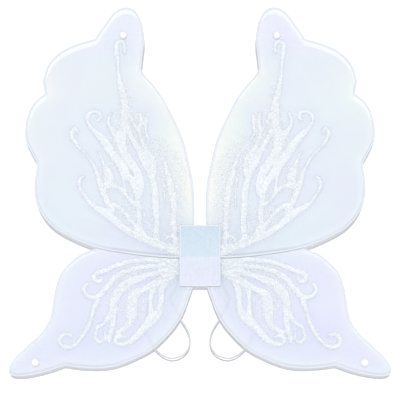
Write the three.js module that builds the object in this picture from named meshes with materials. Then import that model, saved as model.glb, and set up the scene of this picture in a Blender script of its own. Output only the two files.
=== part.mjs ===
// Fairy wings: two pairs of wire-framed mesh wings that grow out of a small centre panel, with an elastic
// arm loop on each side. Millimetres. +X to the wearer's right, +Z up, -Y is the decorated side, and +Y faces
// the wearer. The origin is the middle of the panel's back face, which rests on the wearer's spine.
//
// Every wing is drawn once as (out, up) points, "out" being the distance from the centre line, and is mirrored.
// "Depth" is the distance in front of the panel's back face, so a depth d lies at y = -d.

import * as THREE from 'three';

// ---- driving dimensions ----

const GAP = 0.3; // air between neighbouring pieces

const PANEL_WIDTH = 57.5;
const PANEL_HEIGHT = 86;
const PANEL_CORNER = 3;
const CORNER_SEGMENTS = 3;
const PAD_THICKNESS = 3.6;
const BOARD_THICKNESS = 1.2;
const BOARD_MARGIN = 2; // how far the board stops inside the panel's edge
const COVER_THICKNESS = 1.4;
const SPINE_WIDTH = 8; // the soft middle strip, where the panel creases

const FILM_THICKNESS = 0.4; // one layer of wing mesh
const WIRE_DIAMETER = 1.8;
const WIRE_SIDES = 6;
const WIRE_STEPS = 72;
const SLEEVE_DIAMETER = 2.4;
const SLEEVE_LENGTH = 14;
const SLEEVE_SIDES = 10;
const WIRE_END_LENGTH = 2; // shortest stretch of wire between a sleeve's mouth and the first bend
const HEM = 0.7; // mesh that shows outside the wire

const UPPER_REACH = 245; // centre line to the upper wing's widest point
const UPPER_RISE = 348; // panel centre to the horn's tip
const LOWER_REACH = 269;
const LOWER_DROP = 170;
const UPPER_PEARL_DIAMETER = 10;
const LOWER_PEARL_DIAMETER = 11;
const PEARL_HEIGHT = 3.4;
const PEARL_SIDES = 16;
const PEARL_RINGS = 5;

const ELASTIC_DIAMETER = 2.5;
const ELASTIC_SIDES = 8;
const ELASTIC_STEPS = 56;
const ELASTIC_LEAD = 5; // straight length below each tab
const TAB_HEIGHT = 8;
const UPPER_TAB_UP = 33; // height of each tab's middle on the panel's side
const LOWER_TAB_UP = -22;
const UPPER_TAB_OVERHANG = 4.75; // panel edge to the elastic's middle
const LOWER_TAB_OVERHANG = 1.9;

const OUTLINE_STEP = 9; // length of one straight edge along a wing's curved outline

// ---- depths, from the back face forwards ----

const WING_THICKNESS = 2 * FILM_THICKNESS + SLEEVE_DIAMETER + 2 * GAP;
const BOARD_DEPTH = PAD_THICKNESS + GAP;
const LOWER_WING_DEPTH = BOARD_DEPTH + BOARD_THICKNESS + GAP;
const UPPER_WING_DEPTH = LOWER_WING_DEPTH + WING_THICKNESS + GAP;
const COVER_DEPTH = UPPER_WING_DEPTH + WING_THICKNESS + GAP;
const ELASTIC_DEPTH = LOWER_WING_DEPTH - 2 * GAP - ELASTIC_DIAMETER / 2;

// ---- wing outlines ----
// Each outline is a ring of lobes. A lobe is a smooth curve through its points, and two lobes meet at a notch.
// The points are for a wing of the drawn size, and are stretched to the reach and the rise stated above.

const UPPER_WING = {
  drawn: { reach: 245, rise: 348 },
  size: { reach: UPPER_REACH, rise: UPPER_RISE },
  depth: UPPER_WING_DEPTH,
  lobes: [
    [[8, 79], [8, 44], [8.5, 14], [14, 0], [30, -3], [58, -2], [102, 3], [145, 11], [177, 23], [209, 42],
      [227, 67], [232, 90], [231, 108], [228, 128]],
    [[228, 128], [238, 147], [244, 160], [245, 174], [243, 190], [238, 205], [229, 218], [217, 227]],
    [[217, 227], [220, 244], [218, 253], [213, 267], [204, 278], [193, 287], [174, 296], [147, 304]],
    [[147, 304], [140, 315], [132, 326], [124, 337], [115, 345], [104, 348], [92, 344], [83, 330], [79, 314],
      [78, 297], [80, 281], [82, 261]],
    [[82, 261], [79, 255], [66, 240], [52, 221], [40, 199], [31, 181], [22, 158], [15, 128], [10, 105], [8, 79]],
  ],
  sleeve: [8.2, 24],
  pearl: [107.5, 308.5],
  pearlDiameter: UPPER_PEARL_DIAMETER,
};

const LOWER_WING = {
  drawn: { reach: 269, rise: 170 },
  size: { reach: LOWER_REACH, rise: LOWER_DROP },
  depth: LOWER_WING_DEPTH,
  lobes: [
    [[9, -26], [10, -45], [15, -59], [20, -74], [29, -92], [41, -108], [66, -132], [84, -142], [102, -150],
      [120, -156], [138, -158.5], [156, -158.5], [174, -157], [190, -154.5]],
    [[190, -154.5], [211, -162], [229, -166.5], [245, -169.3], [259, -169.7], [266, -167.5], [269, -163],
      [267, -156], [261, -145], [250, -134], [239, -123.5], [227, -113], [218, -102], [212, -91.5], [209, -82.5],
      [205, -57.5], [202, -43], [197, -29], [190, -18], [179, -7], [168, 1.5], [156, 6.5], [145, 10],
      [120, 11], [90, 8], [60, 5], [30, 3], [15, -1], [9, -14], [9, -26]],
  ],
  sleeve: [9.3, -34],
  pearl: [231, -150],
  pearlDiameter: LOWER_PEARL_DIAMETER,
};

// The elastic's free route from the lower tab round to the upper tab, as (out, up) points. It drops beside the
// panel, crosses the inner edge of the lower wing, hangs as a teardrop below it and climbs behind both wings.
const ELASTIC_ROUTE = [
  [32.5, -40], [37, -51], [41.5, -60], [38.6, -68.5], [33, -78], [27, -89.5], [20, -100.5],
  [15.5, -111], [14.3, -122], [17.4, -132.5], [25.3, -140.5], [39, -144.5], [52, -140.5], [63, -131], [70, -120],
  [74, -108], [75.5, -90], [72, -62], [61, -27], [47, 4],
];

// ---- materials ----

const coverMaterial = new THREE.MeshStandardMaterial({ color: 0xd2e0f0, roughness: 0.45 });
const padMaterial = new THREE.MeshStandardMaterial({ color: 0xf2f3f7, roughness: 0.9 });
const boardMaterial = new THREE.MeshStandardMaterial({ color: 0xe6e2d8, roughness: 0.8 });
const filmMaterial = new THREE.MeshStandardMaterial({ color: 0xe6ecf9, roughness: 0.5 });
const wireMaterial = new THREE.MeshStandardMaterial({ color: 0xf4f5f8, roughness: 0.4, metalness: 0.3 });
const sleeveMaterial = new THREE.MeshStandardMaterial({ color: 0xb9bcc2, roughness: 0.3, metalness: 1 });
const pearlMaterial = new THREE.MeshStandardMaterial({ color: 0xfafafa, roughness: 0.2 });
const elasticMaterial = new THREE.MeshStandardMaterial({ color: 0xf6f6f8, roughness: 0.85 });

// ---- helpers ----

const root = new THREE.Group();

function add(name, geometry, material) {
  const mesh = new THREE.Mesh(geometry, material);
  mesh.name = name;
  root.add(mesh);
  return mesh;
}

/** A flat piece: an (x, z) outline with its back at the given depth and its thickness towards the front. */
function addPlate(name, shape, depth, thickness, material) {
  const geometry = new THREE.ExtrudeGeometry(shape, {
    depth: thickness,
    bevelEnabled: false,
    curveSegments: CORNER_SEGMENTS,
  });
  const mesh = add(name, geometry, material);
  mesh.rotation.x = Math.PI / 2;
  mesh.position.y = -depth;
  return mesh;
}

/** A tube with flat ends along points that all lie at one depth. */
function addTube(name, points, depth, diameter, sides, steps, material) {
  const section = new THREE.Shape();
  for (let i = 0; i < sides; i += 1) {
    const angle = (2 * Math.PI * i) / sides;
    const place = [(diameter / 2) * Math.cos(angle), (diameter / 2) * Math.sin(angle)];
    if (i === 0) section.moveTo(...place);
    else section.lineTo(...place);
  }
  const places = points.map(([x, z]) => new THREE.Vector3(x, -depth, z));
  const path = new THREE.CatmullRomCurve3(places, false, 'centripetal');
  const geometry = new THREE.ExtrudeGeometry(section, { extrudePath: path, steps, bevelEnabled: false });
  return add(name, geometry, material);
}

/** A rectangle from inner to outer distance from the centre line, with its two outer corners rounded. */
function halfPanelShape(side, inner, outer, height, corner) {
  const top = height / 2;
  const shape = new THREE.Shape();
  shape.moveTo(side * inner, -top);
  shape.lineTo(side * (outer - corner), -top);
  shape.quadraticCurveTo(side * outer, -top, side * outer, -top + corner);
  shape.lineTo(side * outer, top - corner);
  shape.quadraticCurveTo(side * outer, top, side * (outer - corner), top);
  shape.lineTo(side * inner, top);
  shape.closePath();
  return shape;
}

/** The wing's outline as a ring of (out, up) points at its real size. */
function wingOutline(wing) {
  const stretchOut = wing.size.reach / wing.drawn.reach;
  const stretchUp = wing.size.rise / wing.drawn.rise;
  const ring = [];
  for (const lobe of wing.lobes) {
    const points = lobe.map(([out, up]) => new THREE.Vector3(out * stretchOut, up * stretchUp, 0));
    const curve = new THREE.CatmullRomCurve3(points, false, 'centripetal');
    const pieces = Math.max(4, Math.round(curve.getLength() / OUTLINE_STEP));
    for (let i = 0; i < pieces; i += 1) {
      const point = curve.getPointAt(i / pieces);
      ring.push(new THREE.Vector2(point.x, point.y));
    }
  }
  return ring;
}

/** The ring moved inwards by a distance, each point along the line between its two neighbours' normals. */
function insetRing(ring, distance) {
  const turn = THREE.ShapeUtils.isClockWise(ring) ? 1 : -1;
  return ring.map((point, i) => {
    const before = ring[(i + ring.length - 1) % ring.length];
    const after = ring[(i + 1) % ring.length];
    const along = after.clone().sub(before).normalize();
    return new THREE.Vector2(point.x + turn * distance * along.y, point.y - turn * distance * along.x);
  });
}

/** The wire's route: the inset outline, opened where the sleeve joins its two ends. */
function wireRoute(wing, sleeve) {
  const ring = insetRing(wingOutline(wing), HEM + WIRE_DIAMETER / 2);
  const distances = ring.map((point) => point.distanceTo(sleeve));
  const nearest = distances.indexOf(Math.min(...distances));
  const ordered = ring.slice(nearest).concat(ring.slice(0, nearest));
  const clear = SLEEVE_LENGTH / 2 + GAP;
  const kept = ordered.filter((point) => point.distanceTo(sleeve) > clear + WIRE_END_LENGTH);
  const topEnd = new THREE.Vector2(sleeve.x, sleeve.y + clear);
  const bottomEnd = new THREE.Vector2(sleeve.x, sleeve.y - clear);
  const startsLow = kept[0].y < sleeve.y;
  return startsLow ? [bottomEnd, ...kept, topEnd] : [topEnd, ...kept, bottomEnd];
}

// ---- wings ----

/** Two layers of mesh, the wire that stretches them, its sleeve and one pearl. */
function buildWing(label, wing, side) {
  const ring = wingOutline(wing);
  const shape = new THREE.Shape(ring.map((point) => new THREE.Vector2(side * point.x, point.y)));
  const frontFilmDepth = wing.depth + WING_THICKNESS - FILM_THICKNESS;
  addPlate(`${label}_mesh_back`, shape, wing.depth, FILM_THICKNESS, filmMaterial);
  addPlate(`${label}_mesh_front`, shape, frontFilmDepth, FILM_THICKNESS, filmMaterial);

  const stretchOut = wing.size.reach / wing.drawn.reach;
  const stretchUp = wing.size.rise / wing.drawn.rise;
  const inset = HEM + WIRE_DIAMETER / 2;
  const sleeve = new THREE.Vector2(wing.sleeve[0] * stretchOut + inset, wing.sleeve[1] * stretchUp);
  const wireDepth = wing.depth + WING_THICKNESS / 2;
  const route = wireRoute(wing, sleeve).map((point) => [side * point.x, point.y]);
  addTube(`${label}_wire`, route, wireDepth, WIRE_DIAMETER, WIRE_SIDES, WIRE_STEPS, wireMaterial);

  const sleeveRadius = SLEEVE_DIAMETER / 2;
  const sleeveGeometry = new THREE.CylinderGeometry(sleeveRadius, sleeveRadius, SLEEVE_LENGTH, SLEEVE_SIDES);
  const sleeveMesh = add(`${label}_wire_sleeve`, sleeveGeometry, sleeveMaterial);
  sleeveMesh.rotation.x = Math.PI / 2;
  sleeveMesh.position.set(side * sleeve.x, -wireDepth, sleeve.y);

  const pearl = add(`${label}_pearl`, pearlGeometry(wing.pearlDiameter / 2), pearlMaterial);
  pearl.rotation.x = Math.PI;
  const pearlDepth = wing.depth + WING_THICKNESS + GAP;
  pearl.position.set(side * wing.pearl[0] * stretchOut, -pearlDepth, wing.pearl[1] * stretchUp);
}

/** A domed half pearl with a flat back, turned about its own axis. */
function pearlGeometry(radius) {
  const profile = [new THREE.Vector2(0, 0)];
  for (let i = 0; i <= PEARL_RINGS; i += 1) {
    const angle = (Math.PI / 2) * (i / PEARL_RINGS);
    const across = i === PEARL_RINGS ? 0 : radius * Math.cos(angle);
    profile.push(new THREE.Vector2(across, PEARL_HEIGHT * Math.sin(angle)));
  }
  return new THREE.LatheGeometry(profile, PEARL_SIDES);
}

// ---- centre panel ----

/** The soft middle strip between the two pad halves. The panel creases along it. */
function buildSpine() {
  const shape = new THREE.Shape();
  const half = SPINE_WIDTH / 2;
  const top = PANEL_HEIGHT / 2;
  shape.moveTo(-half, -top);
  shape.lineTo(half, -top);
  shape.lineTo(half, top);
  shape.lineTo(-half, top);
  shape.closePath();
  addPlate('spine_strip', shape, 0, PAD_THICKNESS, padMaterial);
}

/** One half of the panel: foam pad at the back, stiff board, and the shiny cover in front of the wing roots. */
function buildPanelHalf(name, side) {
  const edge = PANEL_WIDTH / 2;
  const padInner = SPINE_WIDTH / 2 + GAP;
  const padShape = halfPanelShape(side, padInner, edge, PANEL_HEIGHT, PANEL_CORNER);
  addPlate(`pad_${name}`, padShape, 0, PAD_THICKNESS, padMaterial);
  const boardShape = halfPanelShape(side, GAP, edge - BOARD_MARGIN, PANEL_HEIGHT - 2 * BOARD_MARGIN, PANEL_CORNER);
  addPlate(`board_${name}`, boardShape, BOARD_DEPTH, BOARD_THICKNESS, boardMaterial);
  const coverShape = halfPanelShape(side, GAP, edge, PANEL_HEIGHT, PANEL_CORNER / 2);
  addPlate(`front_cover_${name}`, coverShape, COVER_DEPTH, COVER_THICKNESS, coverMaterial);
}

// ---- arm loops ----

/** A folded tab sewn to the pad's side edge, as far beyond the elastic as the panel lies inside it. */
function buildTab(name, side, up, overhang) {
  const inner = PANEL_WIDTH / 2 + GAP;
  const outer = PANEL_WIDTH / 2 + 2 * overhang;
  const shape = new THREE.Shape();
  shape.moveTo(side * inner, up - TAB_HEIGHT / 2);
  shape.lineTo(side * outer, up - TAB_HEIGHT / 2);
  shape.lineTo(side * outer, up + TAB_HEIGHT / 2);
  shape.lineTo(side * inner, up + TAB_HEIGHT / 2);
  shape.closePath();
  addPlate(name, shape, ELASTIC_DEPTH - ELASTIC_DIAMETER / 2, ELASTIC_DIAMETER, padMaterial);
}

/** The two tabs of one side, and the elastic that hangs between their lower edges. */
function buildArmLoop(name, side) {
  buildTab(`strap_tab_upper_${name}`, side, UPPER_TAB_UP, UPPER_TAB_OVERHANG);
  buildTab(`strap_tab_lower_${name}`, side, LOWER_TAB_UP, LOWER_TAB_OVERHANG);
  const lowerOut = PANEL_WIDTH / 2 + LOWER_TAB_OVERHANG;
  const upperOut = PANEL_WIDTH / 2 + UPPER_TAB_OVERHANG;
  const lowerEnd = LOWER_TAB_UP - TAB_HEIGHT / 2 - GAP;
  const upperEnd = UPPER_TAB_UP - TAB_HEIGHT / 2 - GAP;
  const leaving = [[lowerOut, lowerEnd], [lowerOut, lowerEnd - ELASTIC_LEAD]];
  const arriving = [[upperOut, upperEnd - ELASTIC_LEAD], [upperOut, upperEnd]];
  const route = [...leaving, ...ELASTIC_ROUTE, ...arriving].map(([out, up]) => [side * out, up]);
  const label = `elastic_loop_${name}`;
  addTube(label, route, ELASTIC_DEPTH, ELASTIC_DIAMETER, ELASTIC_SIDES, ELASTIC_STEPS, elasticMaterial);
}

buildSpine();
for (const [name, side] of [['left', -1], ['right', 1]]) {
  buildPanelHalf(name, side);
  buildWing(`lower_${name}`, LOWER_WING, side);
  buildWing(`upper_${name}`, UPPER_WING, side);
  buildArmLoop(name, side);
}

export default root;
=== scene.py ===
# Fairy wings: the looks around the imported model. Everything is in metres, in the part's own frame:
# +X to the wearer's right, +Z up, -Y the decorated side. Lengths that are easier to read in millimetres are
# written as 3 * MM.

import math

import bpy
import numpy as np
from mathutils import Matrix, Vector, geometry, noise


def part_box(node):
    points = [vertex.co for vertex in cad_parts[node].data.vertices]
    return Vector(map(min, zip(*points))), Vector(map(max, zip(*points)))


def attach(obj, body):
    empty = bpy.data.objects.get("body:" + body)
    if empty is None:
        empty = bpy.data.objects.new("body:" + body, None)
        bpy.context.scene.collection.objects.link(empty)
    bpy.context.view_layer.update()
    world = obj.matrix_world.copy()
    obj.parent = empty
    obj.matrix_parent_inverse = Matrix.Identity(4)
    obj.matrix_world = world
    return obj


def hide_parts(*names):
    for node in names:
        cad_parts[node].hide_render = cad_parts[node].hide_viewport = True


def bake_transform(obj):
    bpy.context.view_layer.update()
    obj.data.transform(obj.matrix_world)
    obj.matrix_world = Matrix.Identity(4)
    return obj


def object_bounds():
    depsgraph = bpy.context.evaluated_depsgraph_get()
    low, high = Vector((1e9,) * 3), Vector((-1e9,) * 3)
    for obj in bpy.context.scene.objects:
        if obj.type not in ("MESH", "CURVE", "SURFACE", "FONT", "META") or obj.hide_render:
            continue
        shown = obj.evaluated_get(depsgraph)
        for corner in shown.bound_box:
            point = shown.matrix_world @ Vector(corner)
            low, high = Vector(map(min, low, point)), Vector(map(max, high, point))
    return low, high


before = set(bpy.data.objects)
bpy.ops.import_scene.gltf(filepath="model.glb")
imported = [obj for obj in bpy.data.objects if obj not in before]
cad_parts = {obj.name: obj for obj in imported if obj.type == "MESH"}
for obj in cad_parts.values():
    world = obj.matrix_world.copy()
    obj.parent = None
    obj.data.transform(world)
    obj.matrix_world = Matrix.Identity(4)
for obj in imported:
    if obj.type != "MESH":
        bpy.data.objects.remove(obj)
CAD_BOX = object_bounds()

MM = 0.001
SIDES = {"left": -1, "right": 1}
LEVELS = ("upper", "lower")
WINGS = [(level, side) for side in SIDES for level in LEVELS]

# ---- camera and stage ----

VIEW_WIDTH = 560 * MM  # what the square picture covers in the plane of the wings
VIEW_HEIGHT_CENTRE = 78 * MM  # height of the picture's middle above the panel's middle
LENS = 200  # mm, long, so that the wings look flat on
SENSOR = 36  # mm
BACKDROP_GAP = 20 * MM  # from the panel's back to the wall that the wings hang against
FLOOR_DROP = 160 * MM  # from the lowest tip down to the floor
WALL_GLOW = 0.05
WORLD_STRENGTH = 0.385
FRONT_SUN = 2.3
BACK_SUN = 1.0
SUN_HEIGHT = 12.5  # degrees above level
SUN_WIDTH = 3  # degrees across, which softens the shadows
STAGE_SIZE = 6.0  # half the width of the wall and the floor

# ---- wing mesh ----

HEM_RADIUS = 1.45 * MM  # mesh rolled round the wire
HEM_SIDES = 10
GATHER_LENGTH = 4.2 * MM  # one pucker of the hem
GATHER_DEPTH = 0.10 * MM
FILM_SPACING = 2.4 * MM
FILM_ALPHA = 0.6
FILM_SLACK = 0.45 * MM  # each layer's distance from the wing's middle plane, far from the wire
FILM_RISE_LENGTH = 9 * MM  # over which the mesh climbs from the slack to the wire
WIRE_CLEARANCE = 0.1 * MM  # between the mesh and the wire where it passes over it
RING_STEP = 2.5 * MM
NOTCH_TURN = 16  # degrees, the least that the outline turns back at a notch between two lobes
RIM_BANDS = (1.5 * MM, 3 * MM, 4.5 * MM)  # rows of mesh points that follow the wire, for a crisp rim
BOTTOM_SHADE_UP = 2.4 * MM  # how far above a bottom edge the painted shade line runs, just inside the hem
BOTTOM_SHADE_HALF = 1.3 * MM

# ---- glitter ----

GLUE_SPACING = 1.3 * MM
GLUE_HEIGHT = 0.36 * MM
GLUE_GRAIN = 0.32 * MM  # how far the grains of glitter stand out of the glue
THIN_BESIDE_COVER = 9 * MM  # the glue thins out over this, to slide under the cover when a wing bends
GLUE_SUNK = 0.12 * MM  # how far the glue's underside lies in the mesh
UNDER_GLUE = 0.93  # how much of the mesh's colour, with its painted highlight and shades, shows through the glue
GLUE_SKIRT = -0.35  # the least Strokes.depth() with glue: a thin skirt just outside a stroke's edge
FLAKES_PER_MM2 = 0.5
LOOSE_PER_MM2 = 0.6
FLAKE_SIDES = 6
FLAKE_TILT = 0.28
FLAKE_RADIUS = (0.28, 0.62)  # mm, least and most


def camera():
    data = bpy.data.cameras.new("camera")
    data.lens = LENS
    data.sensor_width = SENSOR
    data.clip_end = 50
    cam = bpy.data.objects.new("camera", data)
    distance = VIEW_WIDTH * LENS / SENSOR
    wing_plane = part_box("upper_left_mesh_front")[0].y
    cam.location = (0, wing_plane - distance, VIEW_HEIGHT_CENTRE)
    cam.rotation_euler = (math.radians(90), 0, 0)
    bpy.context.scene.collection.objects.link(cam)
    bpy.context.scene.camera = cam


# ---- node materials ----


class Nodes:
    """A material's node tree with a principled shader, and short ways to add nodes to it."""

    def __init__(self, name, **sockets):
        self.material = bpy.data.materials.new(name)
        self.material.use_nodes = True
        self.tree = self.material.node_tree
        self.shader = self.tree.nodes["Principled BSDF"]
        for socket, value in sockets.items():
            self.shader.inputs[socket.replace("_", " ")].default_value = value

    def add(self, kind, **inputs):
        node = self.tree.nodes.new(kind)
        for name, value in inputs.items():
            self.feed(value, node.inputs[name.replace("_", " ")])
        return node

    def feed(self, value, socket):
        if isinstance(value, bpy.types.NodeSocket):
            self.tree.links.new(value, socket)
        else:
            socket.default_value = value

    def link(self, value, socket_name):
        self.feed(value, self.shader.inputs[socket_name])

    def place(self):
        """The point's place in metres, the same for every piece."""
        return self.add("ShaderNodeTexCoord").outputs["Object"]

    def stretched(self, scale, degrees):
        """The point's place turned about the Y axis and then scaled, for textures that run one way."""
        turned = self.add("ShaderNodeMapping", Vector=self.place())
        turned.inputs["Rotation"].default_value = (0, math.radians(degrees), 0)
        scaled = self.add("ShaderNodeMapping", Vector=turned.outputs["Vector"])
        scaled.inputs["Scale"].default_value = scale
        return scaled.outputs["Vector"]

    def ramp(self, factor, stops):
        node = self.add("ShaderNodeValToRGB", Fac=factor)
        elements = node.color_ramp.elements
        while len(elements) < len(stops):
            elements.new(0.5)
        for element, (position, colour) in zip(elements, stops):
            element.position = position
            element.color = (*colour, 1)
        return node.outputs["Color"]

    def noise(self, scale, detail=2.0, place=None):
        node = self.add("ShaderNodeTexNoise", Vector=place or self.place(), Scale=scale, Detail=detail)
        return node.outputs["Fac"]

    def cells(self, scale, place=None):
        return self.add("ShaderNodeTexVoronoi", Vector=place or self.place(), Scale=scale)

    def mix(self, factor, first, second, blend="MIX"):
        node = self.add("ShaderNodeMix")
        node.data_type = "RGBA"
        node.blend_type = blend
        self.feed(factor, node.inputs[0])
        for value, socket in ((first, node.inputs[6]), (second, node.inputs[7])):
            self.feed((*value, 1) if isinstance(value, tuple) and len(value) == 3 else value, socket)
        return node.outputs[2]

    def math(self, operation, first, second=0.0):
        node = self.add("ShaderNodeMath")
        node.operation = operation
        self.feed(first, node.inputs[0])
        self.feed(second, node.inputs[1])
        return node.outputs[0]

    def bump(self, height, distance, strength=1.0):
        node = self.add("ShaderNodeBump", Height=height, Distance=distance, Strength=strength)
        self.link(node.outputs["Normal"], "Normal")


def film_material(name, alpha):
    """Sheer mesh: its colour with its painted highlight and shades, pearly patches from mint to lilac, a fine
    net and a soft sheen.
    """
    n = Nodes(name, Roughness=0.5, Alpha=alpha, Sheen_Weight=0.15, Specular_IOR_Level=0.3)
    tint_and_painted_light = n.add("ShaderNodeAttribute")
    tint_and_painted_light.attribute_name = "tint_and_painted_light"
    lilac_to_mint = [
        (0.34, (0.985, 0.965, 1.0)),
        (0.5, (0.985, 0.985, 0.99)),
        (0.66, (0.975, 1.0, 0.985)),
    ]
    hue = n.ramp(n.noise(13.0, 2.0), lilac_to_mint)
    pearl = n.mix(1.0, tint_and_painted_light.outputs["Color"], hue, "MULTIPLY")
    threads = n.noise(1300.0, 1.0)
    n.link(n.mix(n.math("MULTIPLY", threads, 0.10), pearl, (1.0, 1.0, 1.0)), "Base Color")
    n.bump(n.cells(1100.0).outputs["Distance"], 0.12 * MM, 0.5)
    return n.material


def simple_fabric(name, colour, thread=1800.0, roughness=0.85):
    n = Nodes(name, Roughness=roughness, Sheen_Weight=0.3)
    shade = n.noise(thread, 2.0)
    darker = tuple(c * 0.93 for c in colour)
    n.link(n.mix(shade, (*darker, 1), (*colour, 1)), "Base Color")
    n.bump(n.cells(thread * 0.8).outputs["Distance"], 0.1 * MM, 0.5)
    return n.material


def hard_material(name, colour, grain, **sockets):
    """A lacquered or metal surface with faint cloudy patches in its colour and its gloss."""
    n = Nodes(name, **sockets)
    clouds = n.noise(grain, 3.0)
    duller = tuple(0.94 * c for c in colour)
    n.link(n.mix(clouds, duller, colour), "Base Color")
    n.link(n.math("MULTIPLY", n.math("ADD", clouds, 0.5), sockets["Roughness"]), "Roughness")
    return n.material


def make_materials():
    made = {}
    made["film"] = film_material("sheer_mesh", FILM_ALPHA)
    made["hem"] = simple_fabric("rolled_hem", (0.73, 0.77, 0.84))
    made["pad"] = simple_fabric("pad_lining", (0.86, 0.87, 0.91))
    made["elastic"] = simple_fabric("braided_elastic", (0.66, 0.67, 0.70), 1100.0)
    made["binding"] = simple_fabric("cover_binding", (0.76, 0.80, 0.86))
    made["thread"] = simple_fabric("sewing_thread", (0.72, 0.76, 0.83), 4000.0, 0.6)
    made["board"] = simple_fabric("grey_board", (0.75, 0.73, 0.68))
    made["wire"] = hard_material("coated_wire", (0.86, 0.88, 0.92), 90.0, Roughness=0.3)
    made["sleeve"] = hard_material("wire_sleeve", (0.6, 0.61, 0.64), 400.0, Metallic=1.0, Roughness=0.3)
    lacquer = {"Coat_Weight": 0.6, "Coat_Roughness": 0.08}
    made["pearl"] = hard_material("pearl", (0.93, 0.93, 0.93), 260.0, Roughness=0.18, **lacquer)
    made["cover"] = cover_material()
    made["vein"] = vein_material()
    made["flake"] = flake_material()
    return made


def cover_material():
    """Iridescent knit: teal blue above, lavender below, with streaks, a diagonal net and sparkle."""
    n = Nodes("sparkle_knit", Roughness=0.55, Sheen_Weight=0.3, Specular_IOR_Level=0.2)
    height = n.add("ShaderNodeSeparateXYZ", Vector=n.place()).outputs["Z"]
    low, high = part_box("front_cover_left")
    reach = (high.z - low.z) / 2
    fade = n.math("ADD", n.math("MULTIPLY", height, 0.5 / reach), 0.5)
    stops = [
        (0.1, (0.64, 0.64, 0.76)),
        (0.475, (0.60, 0.63, 0.74)),
        (0.495, (0.485, 0.60, 0.695)),
        (0.95, (0.42, 0.54, 0.655)),
    ]
    base = n.ramp(fade, stops)
    streaks = n.noise(420.0, 2.0, n.stretched((1, 1, 0.09), 0))
    base = n.mix(n.math("MULTIPLY", streaks, 0.36), base, (0.30, 0.42, 0.62))
    for angle in (38, -38):
        net = n.noise(900.0, 1.0, n.stretched((1, 1, 0.16), angle))
        base = n.mix(n.math("MULTIPLY", net, 0.22), base, (0.95, 0.97, 1.0))
    sparkle = n.add("ShaderNodeSeparateColor", Color=n.cells(1500.0).outputs["Color"]).outputs[0]
    rare = n.math("MULTIPLY", n.math("POWER", sparkle, 3.0), 0.16)
    n.link(n.mix(rare, base, (1.0, 1.0, 1.0)), "Base Color")
    n.bump(n.cells(1500.0).outputs["Distance"], 0.1 * MM, 0.5)
    return n.material


def vein_material():
    """Clear glue full of fine glitter: grainy, a little glossy, and tinted by the mesh's colour under it, its
    painted highlight and shades included.
    """
    n = Nodes("glitter_glue", Roughness=0.38)
    grain = n.cells(620.0)
    bright = n.add("ShaderNodeSeparateColor", Color=grain.outputs["Color"]).outputs[0]
    stops = [
        (0.0, (0.54, 0.58, 0.63)),
        (0.35, (0.65, 0.69, 0.70)),
        (0.75, (0.70, 0.74, 0.74)),
        (1.0, (0.79, 0.82, 0.81)),
    ]
    under = n.add("ShaderNodeAttribute")
    under.attribute_name = "tint_and_painted_light"
    thin = n.math("ADD", n.math("MULTIPLY", n.noise(70.0, 2.0), 0.6), 0.15)
    n.link(n.mix(thin, n.ramp(bright, stops), under.outputs["Color"]), "Base Color")
    n.bump(grain.outputs["Distance"], 0.3 * MM, 0.8)
    return n.material


def flake_material():
    """Glitter flakes, each of its own shade, a few of them mint, pink or lilac."""
    n = Nodes("glitter_flakes", Roughness=0.45)
    shade = n.add("ShaderNodeAttribute")
    shade.attribute_name = "shade"
    stops = [
        (0.0, (0.52, 0.57, 0.65)),
        (0.2, (0.64, 0.69, 0.73)),
        (0.45, (0.70, 0.77, 0.75)),
        (0.6, (0.75, 0.78, 0.78)),
        (0.8, (0.81, 0.78, 0.82)),
        (1.0, (0.93, 0.93, 0.93)),
    ]
    n.link(n.ramp(shade.outputs["Fac"], stops), "Base Color")
    return n.material


# ---- geometry helpers ----


def mesh_piece(name, points, faces, material, smooth=True):
    mesh = bpy.data.meshes.new(name)
    mesh.from_pydata([tuple(p) for p in points], [], [tuple(f) for f in faces])
    mesh.materials.append(material)
    mesh.polygons.foreach_set("use_smooth", [smooth] * len(mesh.polygons))
    mesh.update()
    piece = bpy.data.objects.new(name, mesh)
    bpy.context.scene.collection.objects.link(piece)
    return piece


def on_line(start, end, first, second, at):
    """The point that is first at start and second at end, on a straight line through both."""
    return ((end - at) * first + (at - start) * second) / (end - start)


def spline(points, step):
    """A smooth curve through the points (centripetal Catmull-Rom), as points about a step apart."""
    p = [np.array(q, float) for q in points]
    p = [2 * p[0] - p[1], *p, 2 * p[-1] - p[-2]]
    out = []
    for a, b, c, d in zip(p, p[1:], p[2:], p[3:]):
        chords = ((a, b), (b, c), (c, d))
        t = np.cumsum([0, *[max(np.linalg.norm(v - u), 1e-9) ** 0.5 for u, v in chords]])
        count = max(2, int(np.ceil(np.linalg.norm(c - b) / step)))
        for s in np.linspace(t[1], t[2], count, endpoint=False):
            q = [on_line(t[i], t[i + 1], u, v, s) for i, (u, v) in enumerate(chords)]
            r = [on_line(t[i], t[i + 2], q[i], q[i + 1], s) for i in (0, 1)]
            out.append(on_line(t[1], t[2], r[0], r[1], s))
    out.append(p[-2])
    return np.array(out)


def signed_area(ring):
    """The area inside a ring, positive if the ring turns left."""
    x, z = ring.T
    return np.sum(x * np.roll(z, -1) - np.roll(x, -1) * z) / 2


def cap_ring(node):
    """The (x, z) ring of a CAD plate's front face, in order and turning left."""
    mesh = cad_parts[node].data
    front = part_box(node)[0].y
    edges = {}
    for polygon in mesh.polygons:
        corners = [mesh.vertices[i].co for i in polygon.vertices]
        if all(abs(corner.y - front) < 1e-6 for corner in corners):
            keys = [(round(corner.x, 6), round(corner.z, 6)) for corner in corners]
            for a, b in zip(keys, keys[1:] + keys[:1]):
                if (b, a) in edges:
                    del edges[(b, a)]
                else:
                    edges[(a, b)] = True
    following = dict(edges.keys())
    start = next(iter(following))
    ring = [start]
    while following[ring[-1]] != start:
        ring.append(following[ring[-1]])
    ring = np.array(ring)
    return ring if signed_area(ring) > 0 else ring[::-1]


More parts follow.
